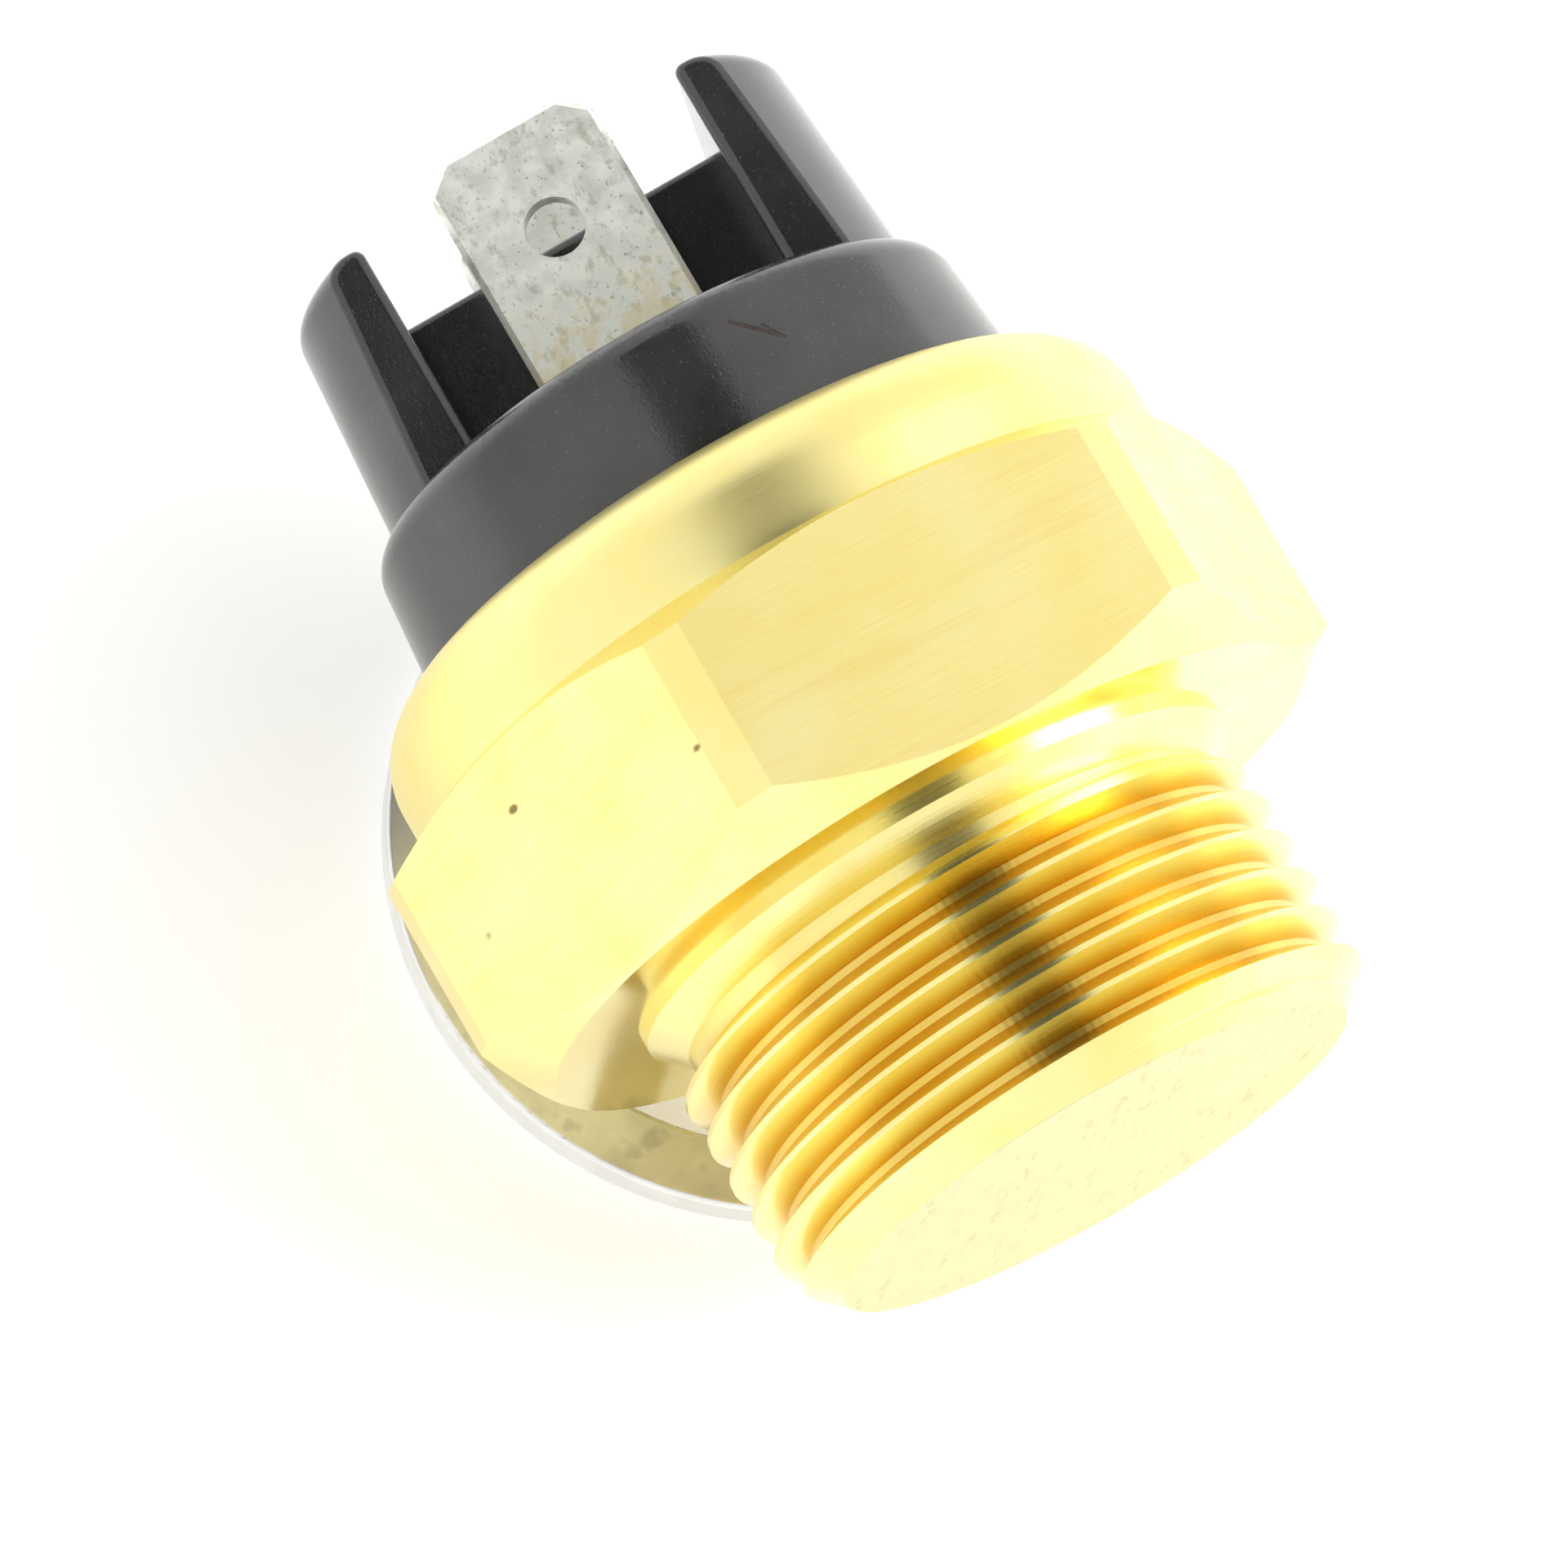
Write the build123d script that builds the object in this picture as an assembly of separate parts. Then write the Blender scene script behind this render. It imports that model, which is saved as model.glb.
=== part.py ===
"""Screw-in bimetal thermo switch with two blade terminals, and its loose sealing washer.

Every piece is modelled upright, with the thread axis on Z, the sealing seat at Z = 0, the blind
nose below and the terminals above. The last step lays the whole switch on one flat of its
hexagon, so that the thread points along +X and the origin stays at the middle of the seat.
"""
import math
import os

from build123d import *

# ---------------------------------------------------------------- driving sizes, millimetres
# Thread and nose
thread_d = 22.0              # nominal size of the metric thread
thread_pitch = 1.5
thread_angle = 60.0          # degrees between the flanks
thread_depth_ratio = 0.613   # depth of an external metric thread against its pitch
thread_crest_flat = thread_pitch / 8
thread_sink = 0.1            # how far the ridge is sunk into the shank that carries it
crest_allowance = 0.03       # radial play that a standard external thread leaves at the crest
nose_length = 11.0           # from the seat to the end of the nose
nose_chamfer = 1.4           # 45 degree lead-in on the nose
relief_start = 1.3           # from the seat to the groove where the thread runs out
relief_width = 1.1

# Hexagon and rolled collar
hex_across_flats = 29.0
hex_corner_d = 32.7          # the corners are turned down to this diameter
hex_band_low = 1.65          # lower end of the turned corner above the seat
hex_band_high = 7.95         # upper end of the turned corner above the seat
hex_top_slope = 30.0         # degrees, chamfer above the flats
seat_d = 28.7                # outer diameter of the flat sealing seat
collar_d = 28.4              # rolled collar that holds the head
collar_top = 13.7            # top of the rolled lip above the seat
lip_radius = 2.8             # outer radius of the roll
lip_wall = 1.2

# Cavity of the housing
nose_wall = 1.5              # brass left at the end of the nose
sensor_bore_d = 16.0
chamber_bore_d = 20.0
chamber_floor = 1.5          # height of the ledge between the two bores
gasket_ledge = 8.6           # height of the ledge that the gasket lies on

# Sealing washer
washer_bore_allowance = 0.2  # its hole is this much larger than the thread, in diameter
washer_land = 2.4            # width of the ring's face
washer_thickness = 1.5
washer_edge = 0.2            # worn rounding of its edges
washer_play = 0.05           # radial play over the collar behind the thread
washer_shift = 6.9           # how far the loose washer lies towards the head

# Insulating head
head_clocking = -15.0        # degrees, terminals against the hexagon
gasket_thickness = 1.0
head_lip_play = 0.05         # radial play of the head where it leaves the rolled lip
head_draft = 0.35            # the head's radius shrinks this much up to its shoulder
head_top = 18.9
shoulder_radius = 1.2
post_inset = 1.1             # the posts stand this far inside the head's edge
post_draft = 0.55            # a post's outer radius shrinks this much up to its tip
post_top = 27.3
post_gap = 12.0              # clear width between the two posts
post_depth = 11.4            # front to back
post_round = 0.9
post_edge = 0.35
web_thickness = 3.0
web_top = 25.2

# Terminals
blade_width = 6.3
blade_thickness = 0.8
blade_spacing = 8.0          # between the middles of the two blades
blade_tip = 28.75
blade_corner = (1.0, 0.85)   # width and height of the cut corners
blade_lead_in = 0.2
blade_hole_d = 2.1
blade_hole_drop = 3.9        # from the tip down to the hole
shank_width = 4.0
shank_play = 0.05
foot_length = 4.4
seal_depth = 1.2
seal_margin = 0.8            # sealing compound around each blade

# Contact set
film_thickness = 0.2
bracket_thickness = 0.6
contact_d = 2.8
contact_thickness = 0.6
contact_edge = 0.1           # broken edges of the contacts
contact_offset = 3.2         # from the axis to the contacts
contact_clearance = 0.02     # left between the contacts when they are closed
arm_thickness = 0.3
arm_width = 3.4
arm_end = 5.2
rivet_d = 1.8
rivet_head_d = 3.2
rivet_head_height = 0.5
rivet_depth = 2.6            # into the head
rivet_offset = 6.4           # from the axis to the rivets

# Push pin and its guide
pin_d = 2.5
pin_play = 0.05              # radial play in the guide, and axial play at both ends
pin_end_chamfer = 0.3
guide_play = 0.05
guide_flange = 1.2
guide_plate = 4.5            # length of the stem that guides the pin
guide_skirt_wall = 1.9

# Bimetal disc stack
disc_d = 14.6
disc_thickness = 0.25
disc_dome = 0.35             # height of the dome, and the distance its middle snaps through
disc_side_play = 0.2
ring_thickness = 0.6
ring_bore_d = 12.4
ring_dish = 0.25             # the seat ring's top falls this much towards its bore
keeper_thickness = 0.8
keeper_headroom = 0.1        # left over the snapped disc
spring_thickness = 0.3
spring_height = 0.6

fit_gap = 0.02               # radial gap of pieces that are a close fit in a bore
sleeve_wall = 0.95

# ---------------------------------------------------------------- values that follow from them
crest_r = thread_d / 2 - crest_allowance
root_r = crest_r - thread_depth_ratio * thread_pitch
washer_bore_r = thread_d / 2 + washer_bore_allowance / 2
pilot_r = washer_bore_r - washer_play
corner_r = hex_corner_d / 2
flat_r = hex_across_flats / 2
collar_r = collar_d / 2
collar_foot = hex_band_high + (corner_r - collar_r) * math.tan(math.radians(hex_top_slope))
lip_centre_r = collar_r - lip_radius
lip_centre_z = collar_top - lip_radius
flange_bore_r = collar_r - lip_wall
neck_r = lip_centre_r - head_lip_play
head_top_r = neck_r - head_draft
post_base_r = head_top_r - post_inset
post_tip_r = post_base_r - post_draft
post_wall = post_tip_r - post_gap / 2
crown_round = min(post_round, post_wall / 3)           # a thin post can't take the full rounding
flat_edge_round = min(post_edge, post_wall / 4)
sensor_r = sensor_bore_d / 2
chamber_r = chamber_bore_d / 2
cavity_floor = nose_wall - nose_length

flange_bottom = gasket_ledge + gasket_thickness
blade_y = blade_spacing / 2
foot_bottom = flange_bottom - blade_thickness
bracket_bottom = foot_bottom - bracket_thickness
fixed_contact_bottom = bracket_bottom - contact_thickness
pin_travel = disc_dome
lever_ratio = (rivet_offset + contact_offset + contact_d / 2) / rivet_offset
contact_gap = pin_travel * lever_ratio + contact_clearance
arm_top = fixed_contact_bottom - contact_gap - contact_thickness
arm_bottom = arm_top - arm_thickness
arm_play = (bracket_thickness - arm_thickness) / 2     # either side of the arm's clamped end
arm_clamp_z = foot_bottom - bracket_thickness / 2
arm_level_z = arm_bottom + arm_thickness / 2

disc_seat = cavity_floor + ring_thickness
disc_centre_top = disc_seat - disc_dome + disc_thickness
keeper_bottom = disc_seat + disc_thickness + disc_dome + keeper_headroom
keeper_top = keeper_bottom + keeper_thickness
guide_bottom = keeper_top + spring_height
guide_top = chamber_floor + guide_flange
film_top = guide_top + film_thickness


# ---------------------------------------------------------------- helpers
def turned(*points):
    """A solid of revolution about Z from the (radius, height) corners of its section."""
    section = Plane.XZ * make_face(Polyline(*points, close=True))
    return revolve(section, Axis.Z)


def tube(outer_r, inner_r, bottom, top):
    """A plain ring between two heights."""
    return turned((inner_r, bottom), (outer_r, bottom), (outer_r, top), (inner_r, top))


def rod(radius, bottom, top, x=0.0, y=0.0):
    """A plain upright cylinder between two heights."""
    return Pos(x, y, bottom) * extrude(Circle(radius), top - bottom)


def block(x_range, y_range, z_range):
    """A box given by its lowest and highest coordinate on each axis."""
    size = [high - low for low, high in (x_range, y_range, z_range)]
    middle = [(high + low) / 2 for low, high in (x_range, y_range, z_range)]
    return Pos(*middle) * Box(*size)


def clocked(shape):
    """Turn a piece that belongs to the head from the hexagon's flats to the terminals' angle."""
    return Rot(0, 0, head_clocking) * shape


def half_turn(shape):
    """The same piece on the other side of the axis."""
    return Rot(0, 0, 180) * shape


# ---------------------------------------------------------------- brass housing
def thread_ridge():
    """Right-hand helical ridge, longer than the shank at the nose and ending in the relief."""
    base_r = root_r - thread_sink
    rise = crest_r - base_r
    half_crest = thread_crest_flat / 2
    half_base = half_crest + rise * math.tan(math.radians(thread_angle / 2))
    start = -nose_length - thread_pitch
    end = -relief_start - relief_width / 2
    path = Pos(0, 0, start) * Helix(thread_pitch, end - start, base_r)
    profile = Plane(origin=(base_r, 0, start), x_dir=(1, 0, 0), z_dir=(0, 1, 0))
    section = profile * make_face(Polyline(
        (0, -half_base), (rise, -half_crest), (rise, half_crest), (0, half_base), close=True))
    return sweep(section, path=path, is_frenet=True)


def nose_waste():
    """What the 45 degree chamfer takes off the ridge at the nose."""
    chamfer_r = crest_r - nose_chamfer
    outside_r = crest_r + thread_pitch
    below = -nose_length - 2 * thread_pitch
    return turned((chamfer_r, -nose_length), (chamfer_r, below), (outside_r, below),
                  (outside_r, outside_r - chamfer_r - nose_length))


def run_out_waste():
    """What the 45 degree run-out takes off the ridge's other end, next to the relief groove."""
    inside_r = root_r - 2 * thread_sink
    outside_r = crest_r + thread_pitch
    crest_end = -relief_start - relief_width
    return turned((inside_r, crest_r - inside_r + crest_end),
                  (outside_r, crest_r - outside_r + crest_end),
                  (outside_r, 0), (inside_r, 0))


def turned_outline():
    """Outside of the housing as it leaves the lathe, without the thread ridge."""
    chamfer_r = crest_r - nose_chamfer
    return Polyline(
        (0, cavity_floor), (0, -nose_length), (chamfer_r, -nose_length),
        (root_r, root_r - chamfer_r - nose_length), (root_r, -relief_start),
        (pilot_r, pilot_r - root_r - relief_start), (pilot_r, 0),
        (seat_d / 2, 0), (corner_r, hex_band_low), (corner_r, hex_band_high),
        (collar_r, collar_foot), (collar_r, lip_centre_z))


def brass_housing():
    """Hexagon, collar, seat and threaded nose in one piece, hollow from the head's side."""
    outline = turned_outline()
    lip_outside = CenterArc((lip_centre_r, lip_centre_z), lip_radius, 0, 90)
    lip_inside = CenterArc((lip_centre_r, lip_centre_z), lip_radius - lip_wall, 0, 90)
    lip_end = Line(lip_outside @ 1, lip_inside @ 1)
    cavity = Polyline(
        (flange_bore_r, lip_centre_z), (flange_bore_r, gasket_ledge), (chamber_r, gasket_ledge),
        (chamber_r, chamber_floor), (sensor_r, chamber_floor), (sensor_r, cavity_floor),
        (0, cavity_floor))
    section = make_face((outline + lip_outside + lip_end + lip_inside + cavity).edges())
    turned_body = revolve(Plane.XZ * section, Axis.Z)
    bar = Pos(0, 0, -nose_length) * extrude(
        RegularPolygon(flat_r, 6, major_radius=False), nose_length + collar_top)
    thread = thread_ridge() - nose_waste() - run_out_waste()
    return (turned_body & bar) + thread


# ---------------------------------------------------------------- sealing parts
def sealing_washer():
    """Flat aluminium ring, its edges worn round."""
    ring = tube(washer_bore_r + washer_land, washer_bore_r, 0, washer_thickness)
    return fillet(ring.edges(), washer_edge)


def head_gasket():
    """Flat ring squeezed between the ledge in the housing and the head's flange."""
    ledge_margin = 0.2
    return tube(flange_bore_r - fit_gap, chamber_r + ledge_margin, gasket_ledge, flange_bottom)


# ---------------------------------------------------------------- insulating head
def head_base():
    """Flange under the rolled lip and the short drafted cylinder above it."""
    flange_r = flange_bore_r - fit_gap
    hug_radius = flange_r - lip_centre_r
    under_lip = CenterArc((lip_centre_r, lip_centre_z), hug_radius, 0, 90)
    shoulder = CenterArc((head_top_r - shoulder_radius, head_top - shoulder_radius),
                         shoulder_radius, 0, 90)
    outline = (
        Polyline((0, flange_bottom), (flange_r, flange_bottom), under_lip @ 0)
        + under_lip
        + Polyline(under_lip @ 1, (neck_r, (under_lip @ 1).Y), (neck_r, collar_top), shoulder @ 0)
        + shoulder
        + Polyline(shoulder @ 1, (0, head_top), (0, flange_bottom)))
    return revolve(Plane.XZ * make_face(outline.edges()), Axis.Z)


def head_post():
    """Post on the +X side: flat front, back and inner faces, drafted round outer face."""
    foot = head_top - shoulder_radius             # it reaches this far down into the base
    crown = CenterArc((post_tip_r - crown_round, post_top - crown_round), crown_round, 0, 90)
    outline = (Polyline((0, foot), (post_base_r, foot), (post_base_r, head_top), crown @ 0) + crown
               + Polyline(crown @ 1, (0, post_top), (0, foot)))
    cone = revolve(Plane.XZ * make_face(outline.edges()), Axis.Z)
    side = block((post_gap / 2, post_base_r), (-post_depth / 2, post_depth / 2), (foot, post_top))
    post = cone & side
    flat_edges = post.edges().filter_by(
        lambda edge: min(edge.bounding_box().size.X, edge.bounding_box().size.Y) < fit_gap
        and edge.bounding_box().max.Z > head_top)
    return fillet(flat_edges, flat_edge_round)


def head_web():
    """Wall that joins the two posts and keeps the terminals apart."""
    reach = post_gap / 2 + post_edge * 2
    web = block((-reach, reach), (-web_thickness / 2, web_thickness / 2),
                (head_top - shoulder_radius, web_top))
    top_edges = web.faces().sort_by(Axis.Z)[-1].edges().filter_by(Axis.X)
    return fillet(top_edges, post_edge)


def insulator_head():
    """Moulded head with its slots, sealing pockets and blind rivet holes."""
    head = head_base() + head_post() + half_turn(head_post()) + head_web()
    half_shank = shank_width / 2 + shank_play
    half_sheet = blade_thickness / 2 + shank_play
    slot = block((-half_shank, half_shank), (blade_y - half_sheet, blade_y + half_sheet),
                 (flange_bottom, head_top))
    rivet_hole = rod(rivet_d / 2, flange_bottom, flange_bottom + rivet_depth, y=rivet_offset)
    for cut in (slot, seal_pocket(), rivet_hole):
        head = head - cut - half_turn(cut)
    return head


def seal_pocket():
    """Pocket round the rear blade that is filled with sealing compound."""
    half_length = blade_width / 2 + seal_margin
    half_breadth = blade_thickness / 2 + seal_margin
    return block((-half_length, half_length), (blade_y - half_breadth, blade_y + half_breadth),
                 (head_top - seal_depth, head_top))


def terminal_seals():
    """The compound in both pockets."""
    seal = seal_pocket() - rear_terminal()
    return seal + half_turn(seal)


# ---------------------------------------------------------------- terminals
def blade_outline():
    """Front view of the blade above the sealing pocket, with its corners cut."""
    half = blade_width / 2
    cut_x, cut_z = blade_corner
    foot = head_top - seal_depth
    outline = make_face(Polyline(
        (-half, foot), (half, foot), (half, blade_tip - cut_z), (half - cut_x, blade_tip),
        (cut_x - half, blade_tip), (-half, blade_tip - cut_z), close=True))
    worn = outline.vertices().filter_by(lambda vertex: vertex.Y > head_top)
    hole = Pos(0, blade_tip - blade_hole_drop) * Circle(blade_hole_d / 2)
    return fillet(worn, blade_lead_in) - hole


def rear_terminal():
    """Blade, shank through the head and foot bent outwards under it, from one strip."""
    back = blade_y + blade_thickness / 2
    front = blade_y - blade_thickness / 2
    blade = extrude(Plane.XZ.offset(-back) * blade_outline(), blade_thickness)
    tip_edges = blade.faces().sort_by(Axis.Z)[-1].edges().filter_by(Axis.X)
    blade = chamfer(tip_edges, blade_lead_in)
    half_shank = shank_width / 2
    shank = block((-half_shank, half_shank), (front, back), (foot_bottom, head_top - seal_depth))
    foot = block((-half_shank, half_shank), (front, front + foot_length),
                 (foot_bottom, flange_bottom))
    hole = rod(rivet_d / 2, foot_bottom, flange_bottom, y=rivet_offset)
    return blade + shank + foot - hole


def front_terminal():
    """The same strip, turned to the other side of the web."""
    return half_turn(rear_terminal())


def terminal_rivets():
    """Two equal rivets: one holds the bracket, the other the contact arm."""
    shank = rod(rivet_d / 2, bracket_bottom, flange_bottom + rivet_depth, y=rivet_offset)
    flat_head = rod(rivet_head_d / 2, bracket_bottom - rivet_head_height, bracket_bottom,
                    y=rivet_offset)
    rivet = shank + flat_head
    return rivet + half_turn(rivet)


# ---------------------------------------------------------------- contacts
def contact_bracket():
    """Brass strip under the rear foot that carries the fixed contact."""
    half = shank_width / 2
    inner_end = contact_offset - contact_d / 2 - blade_lead_in
    outer_end = blade_y - blade_thickness / 2 + foot_length
    strip = block((-half, half), (inner_end, outer_end), (bracket_bottom, foot_bottom))
    return strip - rod(rivet_d / 2, bracket_bottom, foot_bottom, y=rivet_offset)


def contact_button(bottom):
    """Round contact, its lower and upper edges broken."""
    button = rod(contact_d / 2, bottom, bottom + contact_thickness, y=contact_offset)
    return chamfer(button.edges().filter_by(GeomType.CIRCLE), contact_edge)


def contact_arm():
    """Leaf spring clamped under the front rivet and cranked down to pass under the axis."""
    clamped_end = -rivet_offset - rivet_head_d / 2
    crank_start = -rivet_offset + rivet_head_d / 2
    crank_end = crank_start + (arm_clamp_z - arm_level_z)
    half = arm_thickness / 2
    line = [(clamped_end, arm_clamp_z), (crank_start, arm_clamp_z), (crank_end, arm_level_z),
            (arm_end, arm_level_z)]
    upper = [(y, z + half) for y, z in line]
    lower = [(y, z - half) for y, z in reversed(line)]
    side_view = make_face(Polyline(*upper, *lower, close=True))
    strip = extrude(Plane.YZ * side_view, arm_width / 2, both=True)
    hole = rod(rivet_d / 2 + arm_play, arm_clamp_z - arm_thickness, arm_clamp_z + arm_thickness,
               y=-rivet_offset)
    return strip - hole


# ---------------------------------------------------------------- push pin and its guide
def push_pin():
    """Ceramic pin that carries the disc's snap up to the contact arm."""
    pin = rod(pin_d / 2, disc_centre_top + pin_play, arm_bottom - pin_play)
    return chamfer(pin.edges().filter_by(GeomType.CIRCLE), pin_end_chamfer)


def pin_guide():
    """Moulded bush: its flange lies on the housing's ledge and its skirt holds the disc stack."""
    outer_r = sensor_r - guide_play
    inner_r = outer_r - guide_skirt_wall
    bore_r = pin_d / 2 + pin_play
    plate_bottom = guide_top - guide_plate
    return turned(
        (bore_r, guide_top), (bore_r, plate_bottom), (inner_r, plate_bottom),
        (inner_r, guide_bottom), (outer_r, guide_bottom), (outer_r, chamber_floor),
        (chamber_r - guide_play, chamber_floor), (chamber_r - guide_play, guide_top))


def insulating_film():
    """Thin disc between the guide's flange and the contact chamber."""
    pin_clearance = 0.5
    return tube(chamber_r - guide_play, pin_d / 2 + pin_clearance, guide_top, film_top)


def spacer_sleeve():
    """Tube that the head presses down on the film and the guide."""
    outer_r = chamber_r - fit_gap
    return tube(outer_r, outer_r - sleeve_wall, film_top, flange_bottom)


# ---------------------------------------------------------------- bimetal disc stack
def disc_seat_ring():
    """Ring on the cavity's floor; the disc's rim rests on its outer edge."""
    outer_r, bore_r, rim_r = sensor_r - fit_gap, ring_bore_d / 2, disc_d / 2
    return turned((bore_r, cavity_floor), (outer_r, cavity_floor), (outer_r, disc_seat),
                  (rim_r, disc_seat), (bore_r, disc_seat - ring_dish))


def bimetal_disc():
    """Dished disc in its cold state, hollow side up."""
    rim_r = disc_d / 2
    lower = TangentArc((0, disc_seat - disc_dome), (rim_r, disc_seat), tangent=(1, 0))
    upper = Pos(0, disc_thickness) * lower
    section = make_face([lower.edge(), Line(lower @ 1, upper @ 1), upper.edge(),
                         Line(upper @ 0, lower @ 0)])
    return revolve(Plane.XZ * section, Axis.Z)


def disc_keeper():
    """Cupped ring that keeps the disc on its seat and leaves it room to snap."""
    outer_r, bore_r = sensor_r - fit_gap, ring_bore_d / 2
    wall_r = disc_d / 2 + disc_side_play
    return turned((wall_r, disc_seat), (outer_r, disc_seat), (outer_r, keeper_top),
                  (bore_r, keeper_top), (bore_r, keeper_bottom), (wall_r, keeper_bottom))


def keeper_spring():
    """Conical spring washer between the keeper and the guide's skirt."""
    outer_r, bore_r = sensor_r - guide_play, ring_bore_d / 2
    top = keeper_top + spring_height
    return turned((outer_r, keeper_top), (outer_r, keeper_top + spring_thickness),
                  (bore_r, top), (bore_r, top - spring_thickness))


# ---------------------------------------------------------------- the whole switch
lying = Plane(origin=(0, 0, 0), x_dir=(0, 1, 0), z_dir=(-1, 0, 0)).location
on_the_bench = Pos(-washer_shift, 0, -flat_r)

pieces = {
    "brass_housing": lying * brass_housing(),
    "sealing_washer": on_the_bench * sealing_washer(),
    "head_gasket": lying * head_gasket(),
    "insulator_head": lying * clocked(insulator_head()),
    "front_terminal": lying * clocked(front_terminal()),
    "rear_terminal": lying * clocked(rear_terminal()),
    "terminal_seals": lying * clocked(terminal_seals()),
    "terminal_rivets": lying * clocked(terminal_rivets()),
    "contact_bracket": lying * clocked(contact_bracket()),
    "fixed_contact": lying * clocked(contact_button(fixed_contact_bottom)),
    "moving_contact": lying * clocked(contact_button(arm_top)),
    "contact_arm": lying * clocked(contact_arm()),
    "push_pin": lying * push_pin(),
    "pin_guide": lying * pin_guide(),
    "insulating_film": lying * insulating_film(),
    "spacer_sleeve": lying * spacer_sleeve(),
    "keeper_spring": lying * keeper_spring(),
    "disc_keeper": lying * disc_keeper(),
    "bimetal_disc": lying * bimetal_disc(),
    "disc_seat_ring": lying * disc_seat_ring(),
}

os.makedirs("parts", exist_ok=True)
for name, piece in pieces.items():
    export_step(piece, f"parts/{name}.step")
    print(f"{name:18s} {piece.volume:10.2f} mm3")
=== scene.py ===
# %% [markdown]
# # A screw-in thermo switch on a white bench
# The real switch is a brass nose with a thread, a hexagon and a rolled collar. The collar grips
# a black moulded head with two flat terminals, and a loose aluminium ring lies round the
# hexagon's foot. The solid model already has every true shape and size, so this lesson keeps
# those pieces and spends its effort on the finishes: how brass, dull plating, tumbled
# aluminium and moulded plastic are each built from a few procedural nodes.

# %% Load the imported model
import math

import bpy
from mathutils import Matrix, Vector


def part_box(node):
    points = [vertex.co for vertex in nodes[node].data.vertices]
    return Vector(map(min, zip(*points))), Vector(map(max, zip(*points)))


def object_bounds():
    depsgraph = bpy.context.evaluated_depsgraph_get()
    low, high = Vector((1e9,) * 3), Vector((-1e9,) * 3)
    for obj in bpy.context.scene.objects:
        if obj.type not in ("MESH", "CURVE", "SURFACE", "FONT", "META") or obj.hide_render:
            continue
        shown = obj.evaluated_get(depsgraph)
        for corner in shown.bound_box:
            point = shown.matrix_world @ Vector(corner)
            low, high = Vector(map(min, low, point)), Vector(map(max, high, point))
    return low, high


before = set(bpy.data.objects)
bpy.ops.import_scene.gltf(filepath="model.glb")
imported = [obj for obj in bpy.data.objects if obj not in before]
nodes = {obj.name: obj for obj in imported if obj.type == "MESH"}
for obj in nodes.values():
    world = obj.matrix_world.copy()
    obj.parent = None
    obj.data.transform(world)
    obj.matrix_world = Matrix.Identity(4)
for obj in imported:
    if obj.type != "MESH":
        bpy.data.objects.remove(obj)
model_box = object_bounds()
print("pieces:", len(nodes), "box:", model_box)

# %% [markdown]
# ## The camera
# The switch is seen from high above and a little from the nose's side, through a long lens, so
# that its circles stay nearly true ellipses. A camera can be aimed with a constraint, but here it
# also leans, so its three axes are given as directions and turned into one matrix.

# %% Camera
MM = 0.001
sensor_width = 36.0   # in the lens's own millimetres, as Blender wants it
lens_length = 315.0
near_clip = 0.05
camera_right = Vector((0.4918, 0.8596, 0.1384)).normalized()
towards_viewer = Vector((0.235, -0.284, 0.9295)).normalized()
camera_up = towards_viewer.cross(camera_right).normalized()
camera_right = camera_up.cross(towards_viewer)
aim_point = Vector((-5.1, -2.9, 0.4)) * MM
viewing_distance = 457 * MM
camera_data = bpy.data.cameras.new("long_lens")
camera_data.sensor_width = sensor_width
camera_data.lens = lens_length
camera_data.clip_start = near_clip
camera = bpy.data.objects.new("camera", camera_data)
bpy.context.scene.collection.objects.link(camera)
turn = Matrix((camera_right, camera_up, towards_viewer)).transposed().to_4x4()
camera.matrix_world = Matrix.Translation(aim_point + towards_viewer * viewing_distance) @ turn
bpy.context.scene.camera = camera
print("camera height:", round(camera.location.z, 3))

# %% [markdown]
# ## Bench and light
# Polished metal shows nothing but what stands round it, so small brass parts are lit in a tent:
# white on every side, with a pale bench that glows a little like a light table. A tent alone
# looks flat. A long dark flag hangs overhead, as the slit for the camera would, and every round
# part then carries one dark stripe along its length. A key lamp gives the shadows a direction.

# %% White bench
bench_height = model_box[0][2]
bench_half = 1.5
bench_glow = 0.30
bpy.ops.object.select_all(action="DESELECT")
bpy.ops.mesh.primitive_plane_add(size=2 * bench_half, location=(0, 0, bench_height))
bench = bpy.context.active_object
bench.name = "bench"
print("bench at:", round(bench_height / MM, 2), "mm")

# %% Dark flag over the switch
flag_height = 0.62
flag_length = 1.3
flag_middle_x = -0.05
flag_low, flag_high = math.radians(-19), math.radians(9)
flag_y = [flag_height * math.tan(angle) for angle in (flag_low, flag_high)]
bpy.ops.object.select_all(action="DESELECT")
bpy.ops.mesh.primitive_plane_add(size=1, location=(flag_middle_x, sum(flag_y) / 2, flag_height))
flag = bpy.context.active_object
flag.name = "dark_flag"
flag.scale = (flag_length, flag_y[1] - flag_y[0], 1)
print("flag width:", round(flag.scale.y, 3), "m")

# %% Tent
tent_colour, tent_strength = (1.0, 0.995, 0.985, 1.0), 1.12
world = bpy.data.worlds.new("white_tent")
bpy.context.scene.world = world
world.use_nodes = True
tent = world.node_tree.nodes["Background"]
tent.inputs["Color"].default_value = tent_colour
tent.inputs["Strength"].default_value = tent_strength
bpy.context.scene.view_settings.view_transform = "Standard"
print("tent strength:", tent_strength)

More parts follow.
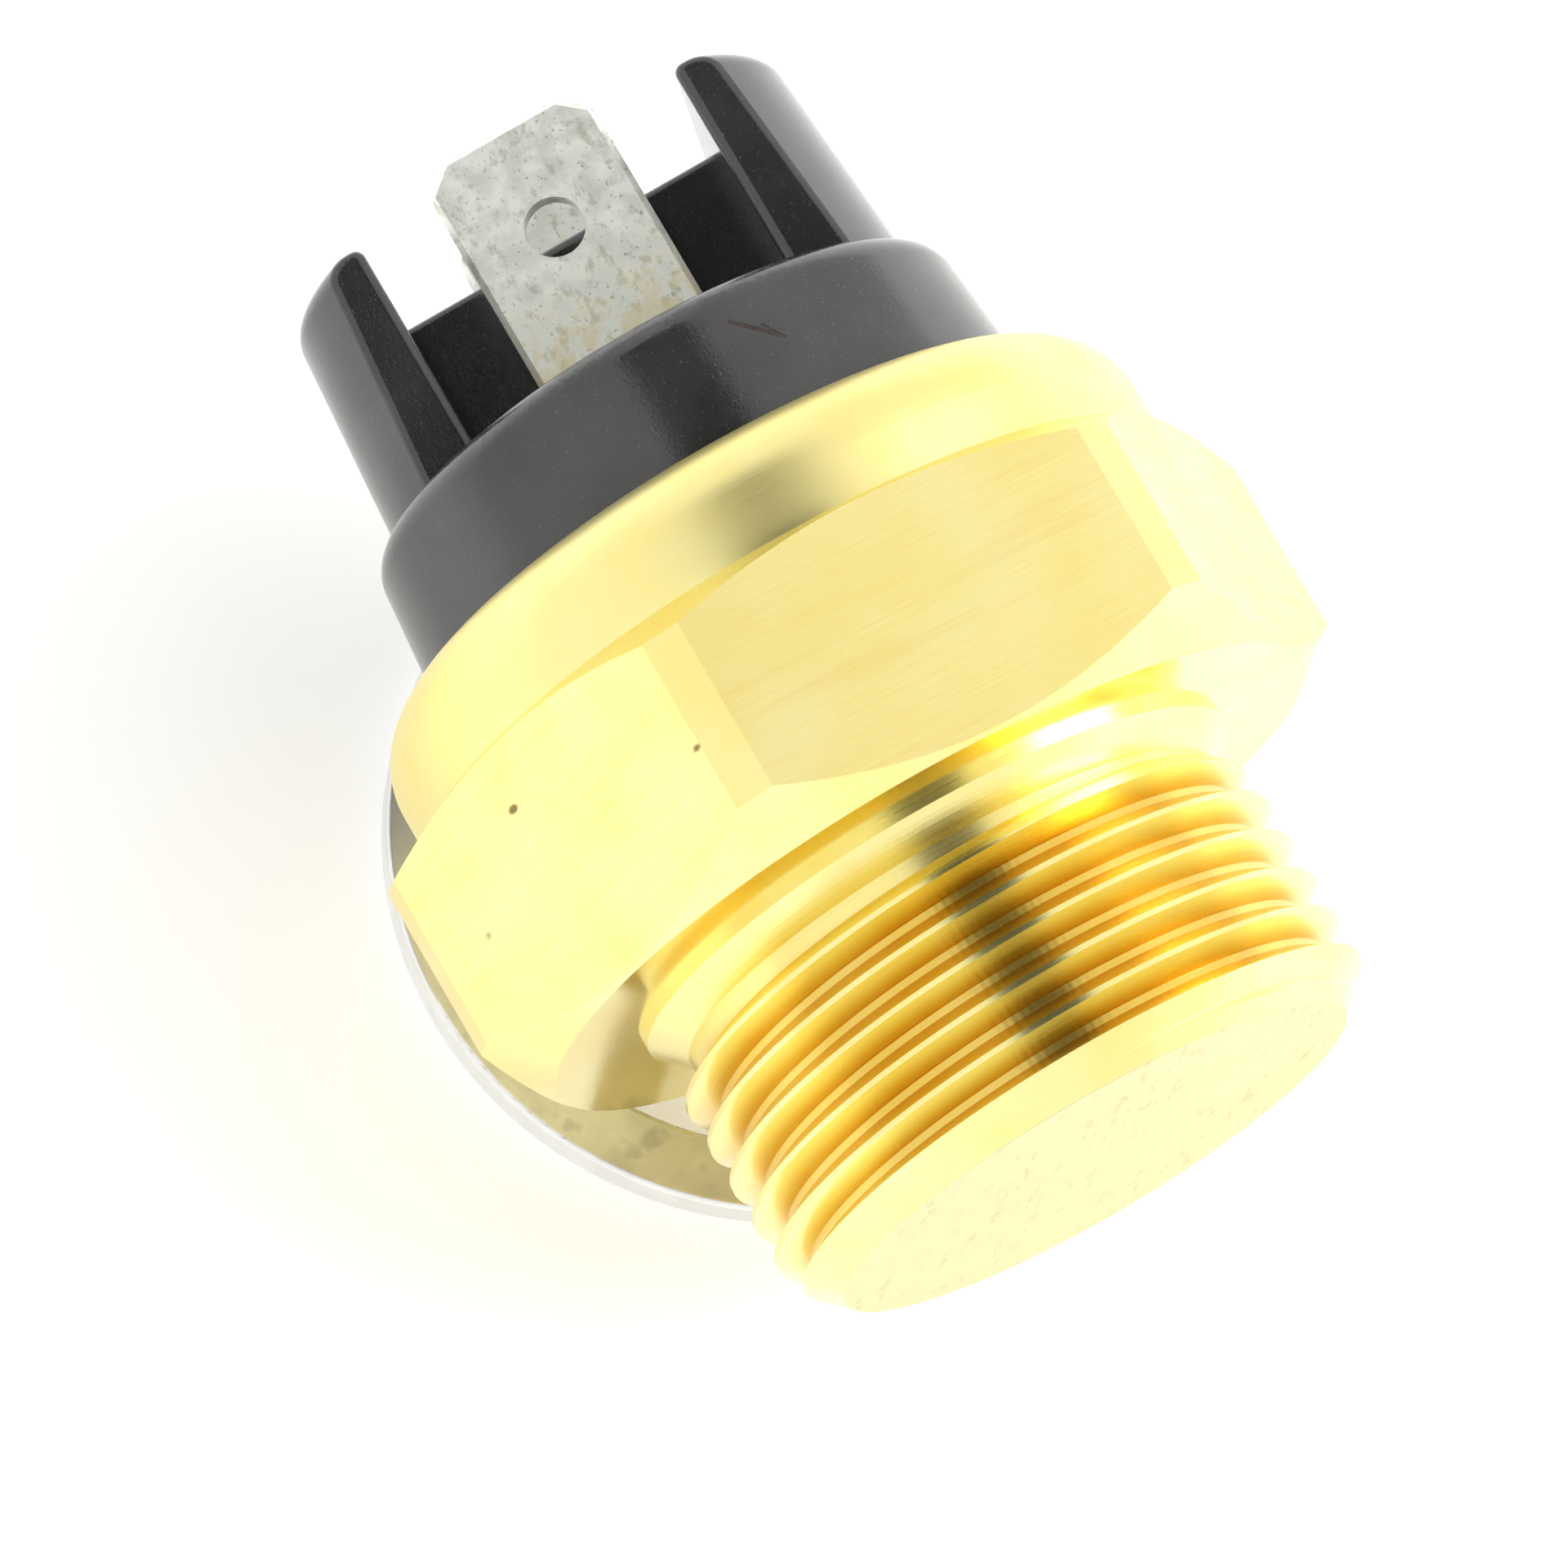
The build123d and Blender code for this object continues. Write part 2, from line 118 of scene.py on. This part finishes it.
# %% Key lamp
lamp_size, lamp_power = (0.8, 0.6), 9.5
lamp_place = (0.35, 0.75, 0.55)
key_data = bpy.data.lights.new("key_lamp", "AREA")
key_data.shape = "RECTANGLE"
key_data.size, key_data.size_y = lamp_size
key_data.energy = lamp_power
key_lamp = bpy.data.objects.new("key_lamp", key_data)
bpy.context.scene.collection.objects.link(key_lamp)
key_lamp.location = lamp_place
key_lamp.rotation_euler = (-key_lamp.location).to_track_quat("-Z", "Y").to_euler()
print("lamp:", key_data.name, lamp_power, "W")

# %% [markdown]
# ## Writing shader maths as arithmetic
# A finish is a graph of nodes. Placing Math nodes one by one hides the idea behind it, so one
# small class wraps a socket and gives it Python's operators: `mask * 0.3 + 0.1` then adds two
# Math nodes by itself. Every other node comes from a single method that takes the node's type,
# its settings and what goes into its sockets.

# %% A socket that can be used in arithmetic
class Value:
    """A node's output that can stand in an arithmetic expression."""

    def __init__(self, finish, socket):
        self.finish, self.socket = finish, socket

    def maths(self, operation, first, second=0.0, clamp=False):
        settings = {"operation": operation, "use_clamp": clamp}
        return self.finish.add("ShaderNodeMath", settings, {0: first, 1: second})

    def __add__(self, other):
        return self.maths("ADD", self, other)

    def __mul__(self, other):
        return self.maths("MULTIPLY", self, other)

    def __sub__(self, other):
        return self.maths("SUBTRACT", self, other)

    def __rsub__(self, other):
        return self.maths("SUBTRACT", other, self)

    def __gt__(self, other):
        return self.maths("GREATER_THAN", self, other)

    def __lt__(self, other):
        return self.maths("LESS_THAN", self, other)

    def __abs__(self):
        return self.maths("ABSOLUTE", self)

    __radd__ = __add__
    __rmul__ = __mul__

    def within(self):
        """The value held between 0 and 1."""
        return self.maths("ADD", self, 0.0, clamp=True)

    def step(self, low, high):
        """0 below low, 1 above high, smooth between them."""
        return self.finish.add("ShaderNodeMapRange", {"interpolation_type": "SMOOTHSTEP"},
                               {"Value": self, "From Min": low, "From Max": high})


# %% A finish, and how it is put on
class Finish:
    """One material, built node by node on a piece's own coordinates, in metres."""

    def __init__(self, name):
        self.material = bpy.data.materials.new(name)
        self.material.use_nodes = True
        self.tree = self.material.node_tree
        self.tree.nodes.clear()
        self.place = self.add("ShaderNodeTexCoord", output="Object")

    def add(self, kind, settings=None, sockets=None, output=0):
        """Adds a node of any kind: settings first, then values or links for its sockets.

        The result is the node's output of that name or number, or nothing for an end node.
        """
        node = self.tree.nodes.new(kind)
        for key, value in (settings or {}).items():
            setattr(node, key, value)
        for key, value in (sockets or {}).items():
            if isinstance(value, Value):
                self.tree.links.new(value.socket, node.inputs[key])
            else:
                node.inputs[key].default_value = value
        return None if output is None else Value(self, node.outputs[output])

    def axes(self):
        """The three coordinates of the surface point."""
        kind = "ShaderNodeSeparateXYZ"
        return [self.add(kind, None, {0: self.place}, axis) for axis in ("X", "Y", "Z")]

    def stretched(self, scale):
        """The coordinates stretched by a factor on each axis."""
        return self.add("ShaderNodeVectorMath", {"operation": "MULTIPLY"},
                        {0: self.place, 1: scale})

    def noise(self, size, detail=2.0, where=None, rough=0.5):
        """Cloudy noise from 0 to 1 with features about size metres across."""
        return self.add("ShaderNodeTexNoise", None,
                        {"Vector": where or self.place, "Scale": 1 / size,
                         "Detail": detail, "Roughness": rough}, "Fac")

    def mix(self, amount, first, second):
        """A colour between first and second."""
        return self.add("ShaderNodeMix", {"data_type": "RGBA"},
                        {0: amount, 6: first, 7: second}, 2)

    def bump(self, height, depth, strength=1.0, under=None):
        """A normal from a height of 0 to 1 that stands for depth metres."""
        sockets = {"Height": height, "Distance": depth, "Strength": strength}
        if under is not None:
            sockets["Normal"] = under
        return self.add("ShaderNodeBump", None, sockets, "Normal")

    def surface(self, sockets):
        """Closes the graph with a Principled BSDF and the material's output."""
        shader = self.add("ShaderNodeBsdfPrincipled", None, sockets, "BSDF")
        self.add("ShaderNodeOutputMaterial", None, {"Surface": shader}, None)
        print("finish:", self.material.name, "with", len(self.tree.nodes), "nodes")


def put_on(finish, *names):
    """Gives a finish to pieces of the solid model, in place of their plain one."""
    for name in names:
        mesh = nodes[name].data
        mesh.materials.clear()
        mesh.materials.append(finish.material)


# %% [markdown]
# ## Brass
# The housing is turned from hexagon bar, so two kinds of mark meet on it. Whatever the lathe
# touched has fine rings round the axis; the flats keep the bar's own drawn, faintly streaked
# skin. Rings only need the distance along the axis and from it, so both come from the
# coordinates instead of a texture laid on the surface. The thread's grooves are given painted
# shade: their colour turns a deeper, darker gold towards the root.

# %% Sizes of the brass piece that its finish follows
housing_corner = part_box("brass_housing")[1]
nose_end = housing_corner.x
flat_distance = housing_corner.z
crest_radius = 10.97 * MM
root_radius = 10.05 * MM
relief_start, relief_end = 1.6 * MM, 2.4 * MM
chamfer_foot, chamfer_full = nose_end - 1.6 * MM, nose_end - 1.1 * MM
collar_full, collar_foot = -10 * MM, -8.5 * MM
flat_skin = 0.012 * MM    # how close to a plane a point has to be to lie on it
end_skin = 0.02 * MM
print("nose end:", round(nose_end / MM, 2), "flats at:", round(flat_distance / MM, 2))

# %% Where the brass was turned and where the bar's skin is left
brass = Finish("turned_brass")
along, across, height = brass.axes()
radius = brass.add("ShaderNodeVectorMath", {"operation": "LENGTH"},
                   {0: brass.stretched((0, 1, 1))}, "Value")
one_sixth = math.radians(60)
upright, sideways = height * math.cos(one_sixth), across * math.sin(one_sixth)
upper_flats = abs(height)
left_flats = abs(upright + sideways)
right_flats = abs(upright - sideways)
furthest = upper_flats.maths("MAXIMUM", upper_flats, left_flats)
furthest = furthest.maths("MAXIMUM", furthest, right_flats)
on_flat = furthest > flat_distance - flat_skin
on_nose_face = along > nose_end - end_skin
on_seat = abs(along) < end_skin
on_collar = 1 - along.step(collar_full, collar_foot)
on_chamfer = along.step(chamfer_foot, chamfer_full)
in_thread = along.step(relief_start, relief_end) * (1 - on_chamfer)
groove = (1 - radius.step(root_radius, crest_radius - 0.1 * MM)) * in_thread
print("masks on the brass:", len(brass.tree.nodes), "nodes so far")

# %% Marks on the brass
rings = brass.add("ShaderNodeCombineXYZ", None, {"X": along, "Y": radius, "Z": 0.0})
fine_rings = brass.noise(0.10 * MM, 3, rings, 0.6)
broad_rings = brass.noise(0.55 * MM, 2, rings)
streaks = brass.noise(0.15 * MM, 4, brass.stretched((1, 0.035, 0.035)), 0.65)
long_streaks = brass.noise(0.7 * MM, 3, brass.stretched((1, 0.07, 0.07)))
clouds = brass.noise(4 * MM, 3)
grain = brass.noise(0.12 * MM, 2)
pit_cells = brass.add("ShaderNodeTexVoronoi", None,
                      {"Vector": brass.stretched((1, 0.6, 0.6)), "Scale": 1 / (2.6 * MM)},
                      "Distance")
pit_chance = brass.noise(1.9 * MM, 1)
pits = (1 - pit_cells.step(0.035, 0.075)) * pit_chance.step(0.50, 0.58) * on_flat
nose_marks = brass.noise(0.5 * MM, 4, brass.stretched((1, 1, 0.30)), 0.7).step(0.52, 0.66)
nose_marks = nose_marks * brass.noise(2.4 * MM, 2).step(0.40, 0.56) * on_nose_face
angle = brass.add("ShaderNodeMath", {"operation": "ARCTAN2"}, {0: across, 1: height})
chatter = brass.add("ShaderNodeMath", {"operation": "SINE"}, {0: angle * 190 + clouds * 9})
chatter = (chatter * 0.5 + 0.5) * groove
print("marks on the brass:", len(brass.tree.nodes), "nodes so far")

# %% Brass colour
pale, warm = (0.94, 0.84, 0.37, 1.0), (0.93, 0.79, 0.29, 1.0)
# The first colour on the next line is painted shade for the thread's grooves.
painted_groove_shade, stain = (0.74, 0.46, 0.055, 1.0), (0.84, 0.56, 0.14, 1.0)
nose_dull, nose_brown = (0.62, 0.58, 0.31, 1.0), (0.42, 0.33, 0.12, 1.0)
pit_dirt = (0.20, 0.13, 0.05, 1.0)
colour = brass.mix(clouds.step(0.3, 0.7), pale, warm)
colour = brass.mix(streaks.step(0.46, 0.72) * on_flat * 0.18, colour, stain)
colour = brass.mix(long_streaks.step(0.52, 0.72) * on_flat * 0.16, colour, stain)
colour = brass.mix(in_thread * 0.35, colour, warm)
# Painted shade: the grooves darken to a deeper gold towards their roots, varied by the clouds.
colour = brass.mix(groove * (0.55 + clouds * 0.45), colour, painted_groove_shade)
colour = brass.mix(on_nose_face * 0.92, colour, nose_dull)
colour = brass.mix(nose_marks * 0.45, colour, nose_brown)
colour = brass.mix(pits * 0.8, colour, pit_dirt)
print("brass tones:", [pale[:3], warm[:3], painted_groove_shade[:3]])

# %% Brass gloss and relief
flat_rough = 0.24 + streaks * 0.26
turned_rough = 0.17 + fine_rings * 0.12 + grain * 0.05
rough = turned_rough + (flat_rough - turned_rough) * on_flat
rough = rough - on_seat * 0.12 + on_collar * 0.12 - in_thread * 0.06
rough = rough + on_nose_face * 0.14 + groove * 0.05 + pits * 0.3
rings_high = (fine_rings * 0.6 + broad_rings * 0.4) * (1 - on_flat) * (1 - on_seat * 0.8)
relief = brass.bump(rings_high + streaks * on_flat * 1.6 - pits, 0.014 * MM, 0.6)
relief = brass.bump(chatter * 0.5 + grain * 0.3, 0.004 * MM, 0.5, relief)
brass.surface({"Base Color": colour, "Metallic": 1.0, "Roughness": rough.within(),
               "Normal": relief})
put_on(brass, "brass_housing")

# %% [markdown]
# ## Black moulded head
# The head is a hard, glass-filled moulding. Such a plastic is never quite black: it is a dark
# grey with a fine speckle where fibres reach the skin, and it scuffs lighter on its rims. A
# narrow nick sits near its shoulder. It could be cut in the mesh, but it is hardly deeper than
# a scratch, so it is drawn: two short strokes that meet, found by the distance of each point of
# the skin from them.

# %% Sizes of the head that its finish follows
head_radius = 11.2 * MM
scuff_middle, scuff_core, scuff_reach = -18.55 * MM, 0.15 * MM, 0.5 * MM
print("head radius:", round(head_radius / MM, 1), "mm")

# %% The nick in the black moulding
black = Finish("black_moulding")
black_along, black_across, black_height = black.axes()
black_angle = black.add("ShaderNodeMath", {"operation": "ARCTAN2"},
                        {0: black_across, 1: black_height})
around = black_angle * head_radius


def stroke(start, end, width):
    """1 on a thin line between two points given as (along, around), 0 off it."""
    run = (end[0] - start[0], end[1] - start[1])
    length = math.hypot(*run)
    unit = (run[0] / length, run[1] / length)
    forward = (black_along - start[0]) * unit[0] + (around - start[1]) * unit[1]
    aside = (black_along - start[0]) * unit[1] - (around - start[1]) * unit[0]
    inside = (forward > 0.0) * (forward < length)
    return (1 - abs(aside).step(width * 0.4, width)) * inside * (black_height > 0.0)


nick_tip = (-15.95 * MM, 1.70 * MM)
long_stroke = stroke(nick_tip, (-17.3 * MM, 0.2 * MM), 0.11 * MM)
short_stroke = stroke(nick_tip, (-16.75 * MM, 1.15 * MM), 0.08 * MM)
nick = long_stroke.maths("MAXIMUM", long_stroke, short_stroke)
nick = nick * (0.6 + black.noise(0.3 * MM, 2))
print("nick tip at:", [round(value / MM, 2) for value in nick_tip])

# %% Black moulding
moulding_dark, moulding_light = (0.018, 0.018, 0.0185, 1.0), (0.030, 0.030, 0.031, 1.0)
fibre_grey, scuff_grey = (0.16, 0.16, 0.15, 1.0), (0.16, 0.16, 0.155, 1.0)
torn_brown = (0.022, 0.011, 0.008, 1.0)
speckle = black.noise(0.09 * MM, 2)
dust = black.noise(0.35 * MM, 3, None, 0.7)
haze = black.noise(3.5 * MM, 3)
specks = speckle.step(0.66, 0.74)
off_scuff = abs(black_along - scuff_middle).step(scuff_core, scuff_reach)
shoulder_scuff = (1 - off_scuff) * dust.step(0.45, 0.62)
moulding = black.mix(haze.step(0.35, 0.7), moulding_dark, moulding_light)
moulding = black.mix(specks * 0.5, moulding, fibre_grey)
moulding = black.mix(shoulder_scuff * 0.2, moulding, scuff_grey)
moulding = black.mix(nick.within(), moulding, torn_brown)
skin = black.bump(speckle * 0.5 + dust * 0.5 - nick * 3, 0.02 * MM, 0.45)
black.surface({"Base Color": moulding, "IOR": 1.68, "Normal": skin,
               "Roughness": (0.11 + dust * 0.12 + nick * 0.6).within()})
put_on(black, "insulator_head")

# %% [markdown]
# ## Plated terminals
# The blades are punched from brass strip and plated. Old plating is cloudy: pale green-grey
# patches, darker speckle where it has thinned, and a yellow tinge near the foot, where the
# strip was hot when the compound was poured. Noise of three sizes makes all of it.

# %% Plating
plate_grey, plate_pale = (0.84, 0.87, 0.79, 1.0), (0.96, 0.97, 0.91, 1.0)
mottle_olive, thin_brown = (0.54, 0.56, 0.43, 1.0), (0.30, 0.29, 0.21, 1.0)
heat_yellow = (0.66, 0.57, 0.30, 1.0)
blade_middle, blade_foot = -24.5 * MM, -19.2 * MM
plating = Finish("dull_plating")
blade_along = plating.axes()[0]
patches = plating.noise(0.8 * MM, 4, None, 0.62)
mottle = plating.noise(0.42 * MM, 3, plating.stretched((0.7, 1, 1)), 0.6)
thin_spots = plating.noise(0.16 * MM, 2)
hot_foot = blade_along.step(blade_middle, blade_foot)
plate = plating.mix(patches.step(0.38, 0.62), plate_grey, plate_pale)
plate = plating.mix(mottle.step(0.52, 0.68) * 0.7, plate, mottle_olive)
plate = plating.mix(thin_spots.step(0.64, 0.72) * 0.6, plate, thin_brown)
plate = plating.mix(hot_foot * patches.step(0.40, 0.58) * 0.75, plate, heat_yellow)
plate_skin = plating.bump(patches * 0.5 + mottle * 0.3 + thin_spots * 0.2, 0.02 * MM, 0.5)
plating.surface({"Base Color": plate, "Metallic": (0.88 - mottle * 0.15).within(),
                 "Roughness": (0.30 + patches * 0.22 + hot_foot * 0.06).within(),
                 "Normal": plate_skin})
put_on(plating, "front_terminal", "rear_terminal")

# %% [markdown]
# ## Tumbled aluminium ring
# Sealing rings are punched and then tumbled with stones until the burrs are gone, which leaves
# a dull, finely dented skin and bright, rounded rims. The rims could be a second material on
# their own faces, but a distance from the ring's middle finds them with a soft border.

# %% Where the ring's rims are
ring_low, ring_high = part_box("sealing_washer")
ring_middle = (ring_low + ring_high) / 2
ring_outer = (ring_high.x - ring_low.x) / 2
ring_inner = 11.1 * MM
alu = Finish("tumbled_aluminium")
from_middle = alu.add("ShaderNodeVectorMath", {"operation": "SUBTRACT"},
                      {0: alu.stretched((1, 1, 0)), 1: (ring_middle.x, ring_middle.y, 0)})
ring_radius = alu.add("ShaderNodeVectorMath", {"operation": "LENGTH"}, {0: from_middle}, "Value")
rim_edge, rim_blend = 0.08 * MM, 0.28 * MM
on_outer_rim = ring_radius.step(ring_outer - rim_blend, ring_outer - rim_edge)
off_inner_rim = ring_radius.step(ring_inner + rim_edge, ring_inner + rim_blend)
rim = (on_outer_rim + 1 - off_inner_rim).within()
print("ring:", round(2 * ring_inner / MM, 1), "to", round(2 * ring_outer / MM, 1), "mm")

# %% Aluminium
alu_dull, alu_pale = (0.68, 0.685, 0.665, 1.0), (0.82, 0.82, 0.79, 1.0)
smudge_grey, frost_white = (0.36, 0.37, 0.37, 1.0), (0.84, 0.84, 0.82, 1.0)
rim_bright = (0.88, 0.88, 0.87, 1.0)
dents = alu.noise(0.30 * MM, 3, None, 0.6)
frost = alu.noise(0.10 * MM, 2)
shade = alu.noise(2.2 * MM, 3)
smudges = alu.noise(1.2 * MM, 2).step(0.60, 0.72)
metal = alu.mix(shade.step(0.35, 0.65), alu_dull, alu_pale)
metal = alu.mix(smudges * 0.35, metal, smudge_grey)
metal = alu.mix(frost.step(0.60, 0.72) * 0.4, metal, frost_white)
metal = alu.mix(rim * 0.6, metal, rim_bright)
alu_skin = alu.bump(dents * 0.6 + frost * 0.4, 0.02 * MM, 0.6)
alu.surface({"Base Color": metal, "Metallic": 0.95,
             "Roughness": (0.44 + dents * 0.15 - rim * 0.2).within(),
             "Normal": alu_skin})
put_on(alu, "sealing_washer")

# %% [markdown]
# ## What is inside
# The inner pieces only show when the housing is taken off, but each is still a real material.
# They share one recipe: two tones that drift slowly over the piece, a finer grain in gloss and
# relief, and a grain that may be stretched along one axis, as it is on drawn or rolled metal.

# %% One recipe for the inner pieces
def inner_finish(name, light, dark, metallic, gloss, grain_size, pull=(1, 1, 1)):
    """Two drifting tones with a grain; a pull under 1 stretches the grain along its axis."""
    finish = Finish(name)
    tone = finish.noise(grain_size * 12, 3).step(0.35, 0.65)
    fine = finish.noise(grain_size, 3, finish.stretched(pull), 0.6)
    darkest = tuple(part * 0.6 for part in dark)
    tint = finish.mix(tone, light + (1.0,), dark + (1.0,))
    tint = finish.mix(fine.step(0.62, 0.72) * 0.3, tint, darkest + (1.0,))
    finish.surface({"Base Color": tint, "Metallic": metallic,
                    "Roughness": (fine * 0.16 + gloss).within(),
                    "Normal": finish.bump(fine, grain_size * 0.15, 0.5)})
    return finish


# %% Finishes of the inner pieces
put_on(inner_finish("inner_brass", (0.88, 0.70, 0.32), (0.80, 0.60, 0.24), 1.0, 0.24, 0.15 * MM,
                    (0.2, 1, 1)),
       "terminal_rivets", "contact_bracket", "disc_keeper", "disc_seat_ring")
put_on(inner_finish("spring_bronze", (0.80, 0.58, 0.36), (0.70, 0.47, 0.28), 1.0, 0.22, 0.1 * MM,
                    (1, 0.15, 0.15)), "contact_arm")
put_on(inner_finish("contact_silver", (0.88, 0.88, 0.86), (0.76, 0.75, 0.70), 1.0, 0.20,
                    0.08 * MM), "fixed_contact", "moving_contact")
put_on(inner_finish("white_ceramic", (0.86, 0.85, 0.80), (0.80, 0.78, 0.72), 0.0, 0.35,
                    0.12 * MM), "push_pin")
put_on(inner_finish("brown_moulding", (0.16, 0.085, 0.045), (0.11, 0.055, 0.03), 0.0, 0.32,
                    0.15 * MM), "pin_guide")
put_on(inner_finish("amber_film", (0.62, 0.36, 0.07), (0.52, 0.28, 0.05), 0.0, 0.15,
                    0.3 * MM), "insulating_film")
put_on(inner_finish("sleeve_aluminium", (0.74, 0.74, 0.73), (0.64, 0.64, 0.63), 1.0, 0.26,
                    0.15 * MM, (0.15, 1, 1)), "spacer_sleeve")
put_on(inner_finish("spring_steel", (0.50, 0.50, 0.50), (0.38, 0.38, 0.40), 1.0, 0.24,
                    0.1 * MM), "keeper_spring")
put_on(inner_finish("bimetal_sheet", (0.60, 0.55, 0.47), (0.50, 0.45, 0.38), 1.0, 0.26,
                    0.12 * MM, (1, 1, 0.12)), "bimetal_disc")
put_on(inner_finish("black_rubber", (0.035, 0.035, 0.036), (0.022, 0.022, 0.023), 0.0, 0.55,
                    0.2 * MM), "head_gasket")
put_on(inner_finish("sealing_compound", (0.022, 0.021, 0.020), (0.035, 0.033, 0.030), 0.0, 0.18,
                    0.4 * MM), "terminal_seals")

# %% [markdown]
# ## Bench and flag surfaces
# Even the paper that the switch lies on has a faint tooth, and the flag is black felt. Both
# glow a little: the paper as a light table does, the felt with the stray light of the room.

# %% Bench and flag surfaces
felt_glow = 0.02
paper = Finish("bench_paper")
tooth = paper.noise(0.6 * MM, 3)
paper.surface({"Base Color": paper.mix(tooth, (0.90, 0.90, 0.90, 1.0), (0.93, 0.93, 0.93, 1.0)),
               "Roughness": 0.9, "Emission Color": (1.0, 1.0, 0.99, 1.0),
               "Emission Strength": bench_glow})
bench.data.materials.append(paper.material)
felt = Finish("flag_felt")
nap = felt.noise(3 * MM, 2)
felt.surface({"Base Color": felt.mix(nap, (0.02, 0.02, 0.02, 1.0), (0.03, 0.03, 0.03, 1.0)),
              "Roughness": 0.95, "Emission Color": (1.0, 0.98, 0.92, 1.0),
              "Emission Strength": felt_glow})
flag.data.materials.append(felt.material)
